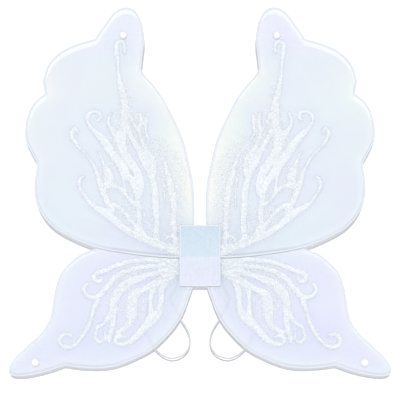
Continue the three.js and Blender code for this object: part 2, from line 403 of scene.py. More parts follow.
def notches(ring):
    """Which points of the ring are notches, where the outline turns back on itself."""
    before = ring - np.roll(ring, 1, axis=0)
    after = np.roll(ring, -1, axis=0) - ring
    cross = before[:, 0] * after[:, 1] - before[:, 1] * after[:, 0]
    turn = np.degrees(np.arctan2(cross, np.sum(before * after, axis=1)))
    return [i for i, angle in enumerate(turn) if angle < -NOTCH_TURN]


def smooth_ring(node):
    """The plate's outline with its lobes made round again between the notches."""
    ring = cap_ring(node)
    corners = notches(ring)
    ring = np.roll(ring, -corners[0], axis=0)
    corners = [c - corners[0] for c in corners] + [len(ring)]
    closed = np.vstack([ring, ring[:1]])
    parts = [spline(closed[a : b + 1], RING_STEP)[:-1] for a, b in zip(corners, corners[1:])]
    return np.vstack(parts)


def inset(ring, distance):
    """The ring moved inwards, for a ring that turns left."""
    along = np.roll(ring, -1, axis=0) - np.roll(ring, 1, axis=0)
    along /= np.linalg.norm(along, axis=1)[:, None]
    return ring + distance * np.stack([-along[:, 1], along[:, 0]], axis=1)


def is_inside(points, ring):
    """Even-odd test of many points against a ring."""
    x, z = points[:, 0], points[:, 1]
    inside = np.zeros(len(points), bool)
    for (ax, az), (bx, bz) in zip(ring, np.roll(ring, -1, axis=0)):
        crosses = (az > z) != (bz > z)
        with np.errstate(divide="ignore", invalid="ignore"):
            at = ax + (z - az) * (bx - ax) / (bz - az)
        inside ^= crosses & (x < at)
    return inside


def distance_to(points, ring):
    """Each point's distance to the nearest of the ring's points."""
    best = np.full(len(points), 1e9)
    for q in ring:
        best = np.minimum(best, np.hypot(points[:, 0] - q[0], points[:, 1] - q[1]))
    return best


def fill(ring, spacing):
    """Triangles over the inside of a ring: its (x, z) points, the ring's own first, and the faces."""
    rows_of_points = [ring]
    for depth in RIM_BANDS:
        band = inset(ring, depth)
        band = band[is_inside(band, ring)]
        rows_of_points.append(band[distance_to(band, ring) > 0.85 * depth])
    rim = np.vstack(rows_of_points)
    low, high = ring.min(axis=0), ring.max(axis=0)
    rows = np.arange(low[1], high[1], spacing * math.sqrt(3) / 2)
    grid = []
    for i, z in enumerate(rows):
        xs = np.arange(low[0] + (i % 2) * spacing / 2, high[0], spacing)
        grid += [(x, z) for x in xs]
    grid = np.array(grid)
    grid = grid[is_inside(grid, ring)]
    grid = grid[distance_to(grid, rim) > 0.55 * spacing]
    points = np.vstack([rim, grid])
    count = len(ring)
    edges = [(i, (i + 1) % count) for i in range(count)]
    result = geometry.delaunay_2d_cdt([Vector(p) for p in points], edges, [], 1, 1e-7)
    return np.array([tuple(v) for v in result[0]]), result[2]


def paint(piece, colours):
    """Give each of a piece's points its own colour, which its material reads as "tint"."""
    rgba = np.ones((len(colours), 4), np.float32)
    rgba[:, :3] = colours
    piece.data.attributes.new("tint_and_painted_light", "FLOAT_COLOR", "POINT").data.foreach_set("color", rgba.ravel())


def blended(colours, target, weight):
    return colours + (np.array(target) - colours) * weight[:, None]


# ---- wings ----

UPPER_TINT = (0.75, 0.805, 0.86)
LOWER_TINT = (0.75, 0.775, 0.895)
LILAC_TINT = (0.785, 0.79, 0.93)
CREAM_TINT = (0.94, 0.945, 0.84)
DEEP_TINT = (0.66, 0.69, 0.88)
SHORE_TINT = (0.655, 0.725, 0.865)
# painted shade: the mesh darker on and round the glitter strokes, in the narrow gaps between them
STROKE_SHADE_TINT = (0.69, 0.725, 0.875)
ROOT_TINT = (0.58, 0.665, 0.79)
# painted highlight: the mesh lighter near its rim, where it rises to the wire and catches the light
RIM_HIGHLIGHT_TINT = (0.88, 0.915, 0.92)
# painted shade: a dark line just inside the wing's bottom edges, which face away from the light
BOTTOM_EDGE_SHADE_TINT = (0.45, 0.52, 0.65)
ROOT_UP = {"upper": 14, "lower": -22}  # mm, where each wing leaves the panel
FOLDS_FROM = {"upper": (20, 8), "lower": (20, -24)}  # mm, (out, up) where a wing's tension folds start


class Wing:
    """One wing's outline, the plane between its two layers, and how far its mesh stands off that."""

    def __init__(self, level, side):
        self.label = f"{level}_{side}"
        self.level = level
        self.sign = SIDES[side]
        self.body = f"{self.label}_wing"
        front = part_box(f"{self.label}_mesh_front")
        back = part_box(f"{self.label}_mesh_back")
        self.middle = (front[0].y + back[1].y) / 2
        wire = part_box(f"{self.label}_wire")
        self.wire_radius = (wire[1].y - wire[0].y) / 2
        self.ring = smooth_ring(f"{self.label}_mesh_front")
        self.wire_ring = inset(self.ring, HEM_RADIUS)
        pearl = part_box(f"{self.label}_pearl")
        self.pearl = (pearl[0] + pearl[1]) / 2
        self.pearl_radius = (pearl[1].x - pearl[0].x) / 2
        out, up = FOLDS_FROM[level]
        self.root = np.array([self.sign * out * MM, up * MM])

    def lift(self, points):
        """How far the front layer stands in front of the wing's middle plane at (x, z) points."""
        near = distance_to(points, self.wire_ring)
        at_wire = self.wire_radius + WIRE_CLEARANCE
        height = FILM_SLACK + (at_wire - FILM_SLACK) * np.exp(-near / FILM_RISE_LENGTH)
        return height + self.wrinkles(points)

    def wrinkles(self, points):
        """Tension folds that run from the pearl and from the root into the mesh."""
        total = np.zeros(len(points))
        pulls = [
            ((self.pearl.x, self.pearl.z), 17, 0.28 * MM, 45 * MM),
            (self.root, 26, 0.6 * MM, 60 * MM),
        ]
        for (cx, cz), folds, depth, reach in pulls:
            dx, dz = points[:, 0] - cx, points[:, 1] - cz
            away = np.hypot(dx, dz)
            angle = np.arctan2(dz, dx * self.sign)
            waves = np.maximum(np.sin(folds * angle) + 0.6 * np.sin(2.3 * folds * angle + 1.3), -0.2)
            start = np.clip(away / (8 * MM), 0, 1)
            total += depth * waves * start * np.exp(-away / reach)
        return total

    def tint_and_painted_light(self, points, strokes):
        """The mesh's colour at (x, z) points: bluish, with its own tips and root, and with painted light: a
        highlight along the rim, shade on and round the glue strokes and a shade line above the bottom edges.
        """
        out, up = np.abs(points[:, 0]) / MM, points[:, 1] / MM
        rim = np.exp(-((distance_to(points, self.ring) / (9 * MM)) ** 2))
        shore = np.exp(-distance_to(points, self.ring) / (20 * MM))
        root = np.exp(-np.hypot(out - 34, up - ROOT_UP[self.level]) / 34)
        # weight of the painted shade on and within a few millimetres of the strokes
        between = np.exp(-strokes.distance(points) / (5 * MM))
        if self.level == "upper":
            colour = np.tile(np.array(UPPER_TINT), (len(points), 1))
            colour = blended(colour, SHORE_TINT, 0.75 * shore * np.clip((150 - up) / 90, 0, 1))
            colour = blended(colour, LILAC_TINT, 0.8 * np.clip((up - 265) / 45, 0, 1))
            inner = np.clip(1 - (out - 15) / 50, 0, 1) * np.clip((up - 20) / 60, 0, 1)
            colour = blended(colour, CREAM_TINT, 0.8 * inner)
            sky = shore * np.clip((up - 170) / 60, 0, 1) * np.clip((275 - up) / 30, 0, 1)
            colour = blended(colour, CREAM_TINT, 0.5 * sky)
        else:
            colour = np.tile(np.array(LOWER_TINT), (len(points), 1))
            smoky = np.exp(-((out - 150) / 32) ** 2 - ((up + 112) / 28) ** 2)
            colour = blended(colour, DEEP_TINT, 0.6 * smoky)
            colour = blended(colour, SHORE_TINT, 0.5 * shore * np.clip((-up - 70) / 60, 0, 1))
        colour = blended(colour, STROKE_SHADE_TINT, 0.55 * between)
        colour = blended(colour, ROOT_TINT, 0.8 * root)
        # painted highlight along the rim
        colour = blended(colour, RIM_HIGHLIGHT_TINT, 0.6 * rim)
        # painted shade line above the bottom edges
        return blended(colour, BOTTOM_EDGE_SHADE_TINT, 0.7 * self.painted_shade_above_bottom_edge(points))

    def painted_shade_above_bottom_edge(self, points):
        """1 on a painted shade line just above the wing's bottom edges, inside the hem, else 0."""
        under = distance_to(points - np.array([0, BOTTOM_SHADE_UP]), self.wire_ring)
        beside = distance_to(points, self.wire_ring)
        return np.exp(-((under / BOTTOM_SHADE_HALF) ** 2)) * (1 - np.exp(-((beside / BOTTOM_SHADE_HALF) ** 2)))

    def front(self, points, proud=0.0):
        """(x, y, z) points on the front layer, or proud of it."""
        y = self.middle - self.lift(points) - proud
        return np.stack([points[:, 0], y, points[:, 1]], axis=1)


def wing_mesh(wing, strokes, material):
    """The front and the back layer of a wing's mesh, each a stretched sheet."""
    points, faces = fill(wing.wire_ring, FILM_SPACING)
    lift = wing.lift(points)
    tint_and_painted_light = wing.tint_and_painted_light(points, strokes)
    for layer, sign in (("front", -1), ("back", 1)):
        y = wing.middle + sign * lift
        turned = faces if sign < 0 else [f[::-1] for f in faces]
        xyz = np.stack([points[:, 0], y, points[:, 1]], axis=1)
        sheet = mesh_piece(f"{wing.label}_sheer_{layer}", xyz, turned, material)
        paint(sheet, tint_and_painted_light)
        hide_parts(f"{wing.label}_mesh_{layer}")
        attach(sheet, wing.body)


def tube(name, path, radii, sides, material, closed=False):
    """A tube along (x, y, z) points that lie nearly in one upright plane, with a radius at each point."""
    count = len(path)
    along = np.gradient(path, axis=0)
    if closed:
        along = np.roll(path, -1, axis=0) - np.roll(path, 1, axis=0)
    along /= np.linalg.norm(along, axis=1)[:, None]
    out = np.array([0.0, -1.0, 0.0])
    across = np.cross(along, out)
    across /= np.linalg.norm(across, axis=1)[:, None]
    points = []
    for i in range(count):
        for k in range(sides):
            angle = 2 * math.pi * k / sides
            points.append(path[i] + radii[i] * (math.cos(angle) * across[i] + math.sin(angle) * out))
    faces = []
    for i in range(count if closed else count - 1):
        j = (i + 1) % count
        for k in range(sides):
            m = (k + 1) % sides
            faces.append((i * sides + k, i * sides + m, j * sides + m, j * sides + k))
    if not closed:
        faces.append(tuple(range(sides))[::-1])
        faces.append(tuple((count - 1) * sides + k for k in range(sides)))
    return mesh_piece(name, points, faces, material)


def hem(wing, material):
    """The mesh rolled round the wire, with small gathers along it."""
    ring = wing.wire_ring
    path = np.stack([ring[:, 0], np.full(len(ring), wing.middle), ring[:, 1]], axis=1)
    steps = np.linalg.norm(np.roll(path, -1, axis=0) - path, axis=1)
    travelled = np.concatenate([[0], np.cumsum(steps)[:-1]])
    radii = HEM_RADIUS + GATHER_DEPTH * np.sin(2 * math.pi * travelled / GATHER_LENGTH)
    roll = tube(f"{wing.label}_hem", path, radii, HEM_SIDES, material, closed=True)
    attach(roll, wing.body)


def dome(name, centre, radius, height, material):
    """A half pearl with a softly flattened top and a thin foot, its flat side against the mesh."""
    rings, sides = 10, 40
    points = []
    profile = [(1.06, 0.0), (1.06, 0.06)]
    for a in np.linspace(0, math.pi / 2, rings)[:-1]:
        profile.append((math.cos(a) ** 0.9, 0.08 + 0.92 * math.sin(a)))
    for across, up in profile:
        for k in range(sides):
            angle = 2 * math.pi * k / sides
            out = radius * across
            points.append(centre + Vector((out * math.cos(angle), -height * up, out * math.sin(angle))))
    points.append(centre + Vector((0, -height, 0)))
    points.append(centre)
    faces = []
    count = len(profile)
    for i in range(count - 1):
        for k in range(sides):
            m = (k + 1) % sides
            faces.append((i * sides + k, i * sides + m, (i + 1) * sides + m, (i + 1) * sides + k))
    top, foot = len(points) - 2, len(points) - 1
    for k in range(sides):
        m = (k + 1) % sides
        faces.append(((count - 1) * sides + k, (count - 1) * sides + m, top))
        faces.append((m, k, foot))
    return mesh_piece(name, points, faces, material)


def pearl(wing, material):
    low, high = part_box(f"{wing.label}_pearl")
    foot = Vector(((low.x + high.x) / 2, high.y, (low.z + high.z) / 2))
    bead = dome(f"{wing.label}_half_pearl", foot, wing.pearl_radius, high.y - low.y, material)
    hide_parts(f"{wing.label}_pearl")
    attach(bead, wing.body)


# ---- glitter veins ----
# Each stroke of glitter glue is a list of (out, up, half width) in millimetres on the wing at rest, from its
# curled tip down to the panel or to the stroke that it branches from. Strokes that touch run together, and
# narrow gaps stay open between the others.

UPPER_STROKES = [
    [(106, 285, 2.6), (105, 292, 2.8), (108, 299, 2.6), (113, 300, 2.8), (117, 295, 3.6), (117, 285, 4),
     (115.5, 274, 3.2), (114.5, 262, 2.8), (113.5, 250, 3.2), (111.5, 238, 4.2), (108, 225, 5),
     (105.5, 212, 5.6), (105.5, 200, 6), (106, 190, 5.6), (107, 180, 5), (110, 170, 7), (110, 157, 7),
     (107, 146, 6.4), (102, 136.5, 6.4), (95, 127.5, 6.2), (88.5, 117.5, 6.2), (85, 107, 6.4),
     (83.5, 97, 6), (84, 87, 4.6)],
    [(125, 199.5, 2.2), (128.5, 190, 2.8), (127, 182, 3), (121.5, 174, 4.4), (114, 165, 7)],
    [(143, 189, 2.2), (139, 194, 3), (141, 200, 3), (149, 202, 3), (156, 198, 3.2), (158.5, 190, 3),
     (154, 182, 3.2), (146.5, 173.5, 4.2), (138, 164.5, 5.6), (130.5, 154.5, 6.2), (123.5, 144, 6.2),
     (116, 133, 6.2), (109, 124, 6), (102, 113.5, 5.4), (95, 102.5, 4.6), (90.5, 91, 4), (87.5, 79, 4),
     (85.7, 66, 4), (85, 55, 4.4), (85, 45, 3.6), (81, 36, 4), (77, 27, 4), (66, 20, 4)],
    [(112, 121, 3), (108.5, 111, 2.6), (106.5, 100, 2.4), (104, 90, 2.6)],
    [(123, 98, 4), (115, 96, 3.4), (108, 90, 3.2), (101.5, 82, 3), (96, 75.5, 3), (89, 70, 3)],
    [(120, 72, 3.6), (114, 67.5, 3.4), (104.5, 59.5, 3.6), (98.5, 51, 3.4), (92.5, 43.5, 3.6),
     (86, 35, 3.6)],
    [(142, 146, 1.6), (139, 139, 2.6), (135.5, 130.5, 2.8), (131, 120, 5), (127.5, 109, 7), (129, 98, 5)],
    [(172.5, 172, 2.2), (173, 177.5, 2.6), (178, 177.5, 3), (180, 170, 3.6), (177.5, 162.5, 3.2),
     (170, 152.5, 2.4), (158, 140.5, 2.1), (150, 128, 2.3), (145, 117.5, 3.2), (141.5, 106, 4.2),
     (138.2, 95, 4.6), (134, 85, 4.6), (129, 74, 4.6), (124, 63, 5)],
    [(163, 111, 2.4), (167, 108, 2.8), (169.5, 101, 3), (168, 94, 3), (164, 87, 2.8), (157, 77, 3.2),
     (148, 69, 4), (136, 62, 5.5), (124, 53, 6), (112, 43, 5), (100, 34, 5), (88, 27, 4.5), (74, 21, 4.5),
     (58, 15, 5), (40, 11, 6)],
    [(103, 186, 4), (99.5, 175, 3.6), (96, 166, 3.8), (91, 156.5, 4), (86, 147.5, 4.4), (81.5, 138.5, 4.6),
     (77.5, 128, 4.4), (72.5, 119, 4.2), (68, 110, 4.4), (64.5, 99, 4.8), (63, 87, 5.2), (62.5, 74, 5.2),
     (61.5, 61, 5), (60.5, 48, 4.4), (61.5, 36, 4.6), (61.5, 24, 4.6), (54, 15, 4.4), (42, 8, 4),
     (30, 3, 3.4)],
    [(98, 197, 3), (94, 188, 2.4), (90, 180, 2.2), (86.5, 173, 2.4)],
    [(84, 198, 3), (82.7, 189, 3.4), (84, 180, 2.8), (84.5, 171, 2.8), (81.5, 162, 3), (78, 152.5, 3.6),
     (73, 143, 5.2), (68, 133, 6.6), (66, 122.5, 6), (65, 112, 4)],
    [(74.5, 197, 3), (75.5, 188, 3), (76, 178, 2.6), (75, 169, 2.4), (71, 163, 2.6)],
    [(57, 146, 1.6), (51, 134, 3), (47, 121, 4), (43.5, 108, 4.6), (40.5, 94, 5), (38, 79, 5),
     (36.5, 66, 4.6), (37, 54, 4.2), (36.5, 42, 4), (36, 30, 4), (34, 18, 4.4), (31, 8, 4)],
    [(55, 118, 1.6), (51.5, 106, 2), (50.5, 94, 2), (50, 82, 2), (50, 70, 1.8)],
    [(50, 22, 2), (44, 27, 2.6), (38, 26, 3)],
]
LOWER_STROKES = [
    [(137.5, -31, 2.4), (140, -36, 3.2), (146.5, -35.5, 3.6), (149.5, -29.5, 4), (145, -24.5, 4),
     (137, -22.5, 4), (128, -18.5, 4), (119, -14.5, 3.8), (107, -10.5, 3.8), (94, -8, 3.6), (81, -6.5, 3.6),
     (68, -5.5, 3.8), (55, -6.5, 4), (42, -7.5, 4), (30, -8, 3.4)],
    [(158, -39.5, 2.6), (162, -43.5, 2.8), (162.5, -51, 3), (155.5, -57.5, 3.4), (146, -58.5, 4),
     (139.5, -54, 4.4), (134, -47.5, 4.4), (128, -41, 4.4), (121.5, -33, 4.6), (114.5, -27.5, 4.4),
     (106.5, -23, 4), (94, -19, 3.6), (80, -16, 3.4), (66, -15, 3.4), (50, -14, 3.6), (30, -12, 3)],
    [(181, -112, 2.4), (188, -110.5, 3), (195, -113, 3.4), (197, -120, 3.6), (192, -127, 3.6),
     (182, -128.5, 3.2), (173, -122.5, 2.8), (165.5, -114, 3), (159.5, -104, 3.2), (154, -93, 3.2),
     (151, -82, 3.2), (148, -72, 3.6), (143.5, -63, 3.8)],
    [(127.5, -122, 2.6), (126.5, -113, 3.6), (123.5, -103, 4.4), (121.5, -92, 4.6), (121.5, -80, 5),
     (122, -69, 5.4), (119.5, -58, 6.4), (112, -48, 7), (103.5, -40.5, 6.6), (93.5, -35, 5.6),
     (81, -30, 4.6), (68, -26, 4), (54, -23, 4), (42, -19, 4), (30, -16, 3.4)],
    [(133.5, -108, 2.2), (134, -117.5, 2.6), (140.5, -121.5, 2.8), (147, -116, 3), (146, -107, 2.8),
     (143.5, -100, 3), (137, -97, 3), (131, -90, 3.4), (126, -82, 4)],
    [(115, -108, 4), (104, -101, 4), (98, -93, 5), (95.5, -82, 7), (95.5, -70, 7.6), (93.5, -59, 7.4),
     (88, -52.5, 6), (78, -47.5, 4.4), (68.5, -41, 4.6), (58.5, -35.5, 4.6), (48, -30, 4.2), (38, -24, 4),
     (30, -19, 3.4)],
    [(104.5, -114, 2.4), (111, -113, 3), (118, -116, 3.4), (117.5, -122, 3.2), (109.5, -124.5, 3.4),
     (100, -122, 4), (91, -115, 5), (82.5, -106, 5.4), (75, -96.5, 5.6), (69.5, -86, 4.8), (69, -74, 3.8),
     (69.5, -61, 3.8), (67.5, -50, 4), (61, -42, 4.2), (50, -35, 4), (40, -29, 4), (30, -23, 3.4)],
    [(70, -94, 6), (62.5, -86, 6), (57, -77, 5.4), (55, -66, 4.6), (54, -54, 4.6), (52, -44, 4.6),
     (48, -36, 4.6)],
]
UPPER_SPRINKLE = [
    [(28, 4, 9), (32, 20, 9), (32, 36, 7)],
    [(112, 62, 9), (95, 46, 11), (78, 34, 12), (60, 24, 11), (44, 14, 8)],
    [(72, 66, 8), (70, 50, 9), (68, 36, 8)],
    [(98, 84, 9), (88, 66, 9)],
    [(66, 164, 4), (57, 153, 10), (49, 142, 13), (42.5, 131, 14), (39, 119, 15), (36, 105, 14.5),
     (33.5, 91, 12.5), (32, 78, 12), (32, 66, 9), (35, 54, 7), (36, 42, 7), (38, 30, 8), (40, 18, 10),
     (40, 8, 8)],
    [(108, 236, 7), (105, 215, 9), (105, 195, 11), (108, 175, 13), (110, 160, 13), (104, 142, 11)],
    [(83, 190, 9), (84, 172, 8), (78, 155, 9), (70, 140, 9), (66, 120, 7)],
    [(130, 115, 12), (128, 98, 10)],
]
LOWER_SPRINKLE = [
    [(30, -8, 6), (50, -10, 7), (70, -14, 8), (90, -22, 9), (106, -38, 12), (116, -54, 12), (120, -75, 10)],
    [(95, -58, 13), (94, -78, 12), (98, -96, 9)],
    [(34, -22, 8), (50, -32, 9), (62, -44, 8)],
]
STROKES = {"upper": UPPER_STROKES, "lower": LOWER_STROKES}
SPRINKLES = {"upper": UPPER_SPRINKLE, "lower": LOWER_SPRINKLE}  # where loose glitter lies round the strokes
STROKE_STEP = 2.0  # mm between the places along a stroke that are measured from


class Strokes:
    """Where a wing's glitter glue lies: round dabs strung closely along each stroke."""

    def __init__(self, wing, drawn):
        dabs = np.vstack([spline(stroke, STROKE_STEP) for stroke in drawn]) * MM
        self.x = dabs[:, 0] * wing.sign
        self.z = dabs[:, 1]
        self.half = dabs[:, 2]
        self.low = np.array([(self.x - self.half).min(), (self.z - self.half).min()])
        self.high = np.array([(self.x + self.half).max(), (self.z + self.half).max()])

    def depth(self, points):
        """1 on a stroke's middle line, 0 at its edge and negative outside, for many points."""
        best = np.full(len(points), -9.0)
        for x, z, half in zip(self.x, self.z, self.half):
            away = (points[:, 0] - x) ** 2 + (points[:, 1] - z) ** 2
            best = np.maximum(best, 1 - away / half**2)
        return best

    def distance(self, points):
        """How far each point lies outside the nearest stroke, 0 on it."""
        best = np.full(len(points), 1.0)
        for x, z, half in zip(self.x, self.z, self.half):
            best = np.minimum(best, np.hypot(points[:, 0] - x, points[:, 1] - z) - half)
        return np.maximum(best, 0)


def lattice(low, high, spacing):
    """A triangular lattice over a rectangle: its (x, z) points and its triangles."""
    rise = spacing * math.sqrt(3) / 2
    columns = int((high[0] - low[0]) / spacing) + 2
    rows = int((high[1] - low[1]) / rise) + 2
    points = []
    for r in range(rows):
        shift = 0.5 * (r % 2)
        points += [(low[0] + (c + shift) * spacing, low[1] + r * rise) for c in range(columns)]
    triangles = []
    for r in range(rows - 1):
        for c in range(columns - 1):
            a = r * columns + c
            b, above, beside = a + 1, a + columns, a + columns + 1
            if r % 2 == 0:
                triangles += [(a, b, above), (b, beside, above)]
            else:
                triangles += [(a, b, beside), (a, beside, above)]
    return np.array(points), np.array(triangles)


def closed_sheet(name, front, back, triangles, material):
    """A thin closed body between two layers of points that share their triangles."""
    count = len(front)
    edges = {}
    for a, b, c in triangles:
        for edge in ((a, b), (b, c), (c, a)):
            edges[edge] = edges.get(edge, 0) + 1
    rim = [edge for edge in edges if (edge[1], edge[0]) not in edges]
    faces = [tuple(t) for t in triangles]
    faces += [(a + count, c + count, b + count) for a, b, c in triangles]
    faces += [(b, a, a + count, b + count) for a, b in rim]
    return mesh_piece(name, np.vstack([front, back]), faces, material)


def glue_rise(strokes, points):
    """How high the glue stands above the mesh: a low bead with clots and grain, and a skirt below it."""
    depth = strokes.depth(points)
    grain = np.array([noise.noise(Vector((x * 700, z * 700, 1.7))) for x, z in points])
    clots = np.array([noise.noise(Vector((x * 130, z * 130, 4.2))) for x, z in points])
    swell = 1 - (1 - np.clip(depth, 0, 1)) ** 2
    cover_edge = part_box("front_cover_right")[1].x
    swell *= np.clip((np.abs(points[:, 0]) - cover_edge) / THIN_BESIDE_COVER, 0.1, 1)
    bead = GLUE_HEIGHT * swell * (1 + 0.25 * clots) + GLUE_GRAIN * grain * swell
    return depth, np.where(depth > 0, bead, GLUE_HEIGHT * depth)


def veins(wing, strokes, glue):
    """All the strokes of a wing as one body of glue."""
    points, triangles = lattice(strokes.low, strokes.high, GLUE_SPACING)
    depth, rise = glue_rise(strokes, points)
    kept = depth > GLUE_SKIRT
    triangles = triangles[kept[triangles].all(axis=1)]
    used = np.unique(triangles)
    renumber = np.full(len(points), -1)
    renumber[used] = np.arange(len(used))
    points, rise = points[used], rise[used]
    front = wing.front(points, rise)
    back = wing.front(points, np.minimum(rise, 0) - GLUE_SUNK)
    body = closed_sheet(f"{wing.label}_glitter_veins", front, back, renumber[triangles], glue)
    # the glue shows the mesh's colour under it, with its painted highlight and shades
    paint(body, UNDER_GLUE * wing.tint_and_painted_light(np.vstack([points, points]), strokes))
    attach(body, wing.body)


def scattered(rng, lay, spread, per_mm2):
    """Random (x, z) places on strokes, thinning out over the spread past their edges."""
    size = lay.high - lay.low
    count = int(size[0] * size[1] * per_mm2 / MM**2)
    places = lay.low + size * rng.uniform(0, 1, (count, 2))
    chance = np.clip(1 + lay.depth(places) / spread, 0, 1)
    return places[rng.uniform(0, 1, count) < chance]


def flakes(wing, strokes, material):
    """Six-sided flakes of glitter, each tipped its own way: dense on the glue, loose round it."""
    rng = np.random.default_rng(7 if wing.level == "upper" else 8)
    loose = scattered(rng, Strokes(wing, SPRINKLES[wing.level]), 0.8, LOOSE_PER_MM2)
    loose = loose[is_inside(loose, wing.wire_ring)]
    seeds = np.vstack([scattered(rng, strokes, 0.5, FLAKES_PER_MM2), loose])
    count = len(seeds)
    rise = np.maximum(glue_rise(strokes, seeds)[1], 0)
    radius = rng.uniform(*FLAKE_RADIUS, count) * MM
    centres = wing.front(seeds, rise + rng.uniform(0.05, 0.2, count) * MM)
    tilt = rng.normal(0, FLAKE_TILT, (count, 2))
    turn = rng.uniform(0, math.pi, count)
    points, faces = [], []
    for i in range(count):
        for k in range(FLAKE_SIDES):
            angle = turn[i] + k * math.pi / (FLAKE_SIDES / 2)
            dx, dz = radius[i] * math.cos(angle), radius[i] * math.sin(angle)
            points.append(centres[i] + (dx, dx * tilt[i, 0] + dz * tilt[i, 1], dz))
        faces.append(tuple(i * FLAKE_SIDES + k for k in range(FLAKE_SIDES)))
    piece = mesh_piece(f"{wing.label}_glitter_flakes", points, faces, material, smooth=False)
    shade = piece.data.attributes.new("shade", "FLOAT", "FACE")
    shade.data.foreach_set("value", rng.uniform(0, 1, count).astype(np.float32))
    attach(piece, wing.body)


# ---- centre panel ----

PLATE_ROWS = 60  # rows of points from a fabric piece's bottom to its top
COVER_STEP = 1.2 * MM  # between its columns of points, on the cover, the pad and the bands
PAD_STEP = 1.6 * MM
BAND_STEP = 0.8 * MM
CORNER_RADIUS = 1.6 * MM
EDGE_ROLL = 1.2 * MM  # radius of a fabric piece's softened edge
SIDE_DROP = 0.25 * MM  # how far the cover sags towards the wings at its sides
LOW_DROP = 3.2 * MM  # and at its bottom edge, where only the lower wings lie under it
UPPER_WINGS_END = -6 * MM  # height down to which the upper wings lie under the cover
RIPPLE = 0.14 * MM  # of the cover's surface, which fades out towards the middle
RIPPLE_FADE = 6 * MM
FOLD_ROOM = 0.08  # a piece may stand this share of its distance from the middle proud of the fold axis
BINDING_RADIUS = 0.95 * MM
BINDING_PROUD = 0.55 * MM  # how far it stands in front of the cover
BINDING_INSET = 0.95 * MM  # how far its middle lies inside the cover's edge
FLAP_REACH = {"top": 10 * MM, "bottom": 12 * MM}  # how far from the middle the wings leave room for a flap
FLAP_THICKNESS = 0.7 * MM
FLAP_SUNK = 0.1 * MM  # how far a flap's ends go into the cover and the pad that it is sewn to
STITCH_INSET = 2.9 * MM
BAND_STITCH_INSET = 1.4 * MM  # on the tabs and the middle strip
STITCH_STEP = 1.3 * MM
THREAD_RADIUS = 0.2 * MM


def soft_plate(name, xs, heights, depths, material, rolled_start=True):
    """A closed piece of fabric. xs runs from its start to its end, heights(x) gives its lowest and highest
    z, and depths(x, z) its front and back y. Its edges are rolled, but the start only if rolled_start."""
    rows = PLATE_ROWS
    spread = np.sin(np.linspace(-0.5, 0.5, rows) * math.pi) * 0.5 + 0.5
    columns = len(xs)
    points = []
    for layer in (0, 1):
        for x in xs:
            bottom, top = heights(x)
            for z in bottom + (top - bottom) * spread:
                near = min(abs(xs[-1] - x), z - bottom, top - z)
                if rolled_start:
                    near = min(near, abs(x - xs[0]))
                roll = math.sqrt(max(0.0, 1 - (1 - min(1, near / EDGE_ROLL)) ** 2))
                front, back = depths(x, z)
                middle = (front + back) / 2
                points.append((x, middle + roll * ((front, back)[layer] - middle), z))

    def at(layer, c, r):
        return (layer * columns + c) * rows + r

    faces = []
    flip = -1 if xs[-1] < xs[0] else 1
    for c in range(columns - 1):
        for r in range(rows - 1):
            for layer in (0, 1):
                quad = (at(layer, c, r), at(layer, c + 1, r), at(layer, c + 1, r + 1), at(layer, c, r + 1))
                faces.append(quad[:: flip if layer == 0 else -flip])
    for c in range(columns - 1):
        for r, turn in ((0, flip), (rows - 1, -flip)):
            faces.append((at(0, c, r), at(1, c, r), at(1, c + 1, r), at(0, c + 1, r))[::turn])
    for r in range(rows - 1):
        for c, turn in ((0, -flip), (columns - 1, flip)):
            faces.append((at(0, c, r), at(1, c, r), at(1, c, r + 1), at(0, c, r + 1))[::turn])
    plate = mesh_piece(name, points, faces, material)
    if not rolled_start:
        sharpen(plate, xs[0])
    return plate


def sharpen(piece, x):
    """Keep the flat end at x from shading the faces round it."""
    corners = piece.data.vertices
    for edge in piece.data.edges:
        edge.use_edge_sharp = all(abs(corners[i].co.x - x) < 1e-7 for i in edge.vertices)


def columns_between(start, end, step):
    """Places from start to end, closer together near the ends where the fabric is rolled."""
    count = int(abs(end - start) / step) + 8
    return start + (end - start) * (np.sin(np.linspace(-0.5, 0.5, count) * math.pi) * 0.5 + 0.5)


def stitch_row(name, line, material):
    """Stitches along (x, y, z) points: a spindle of thread from every even point to the next."""
    out = np.array([0.0, -1.0, 0.0])
    points, faces = [], []
    for start, end in zip(line[::2], line[1::2]):
        along = end - start
        across = np.cross(along, out) / np.linalg.norm(along)
        first = len(points)
        points += [start, end]
        for share in (0.2, 0.8):
            for k in range(6):
                angle = k * math.pi / 3
                aside = THREAD_RADIUS * (math.cos(angle) * across + math.sin(angle) * out)
                points.append(start + share * along + aside)
        for k in range(6):
            a, b = first + 2 + k, first + 2 + (k + 1) % 6
            faces += [(first, b, a), (a, b, b + 6, a + 6), (first + 1, a + 6, b + 6)]
    return mesh_piece(name, points, faces, material)


def resampled(corners, step):
    """Evenly spaced points along a line of straight pieces."""
    corners = np.array(corners, float)
    travelled = np.concatenate([[0], np.cumsum(np.linalg.norm(np.diff(corners, axis=0), axis=1))])
    places = np.linspace(0, travelled[-1], int(travelled[-1] / step) + 1)
    return np.stack([np.interp(places, travelled, axis) for axis in corners.T], axis=1)


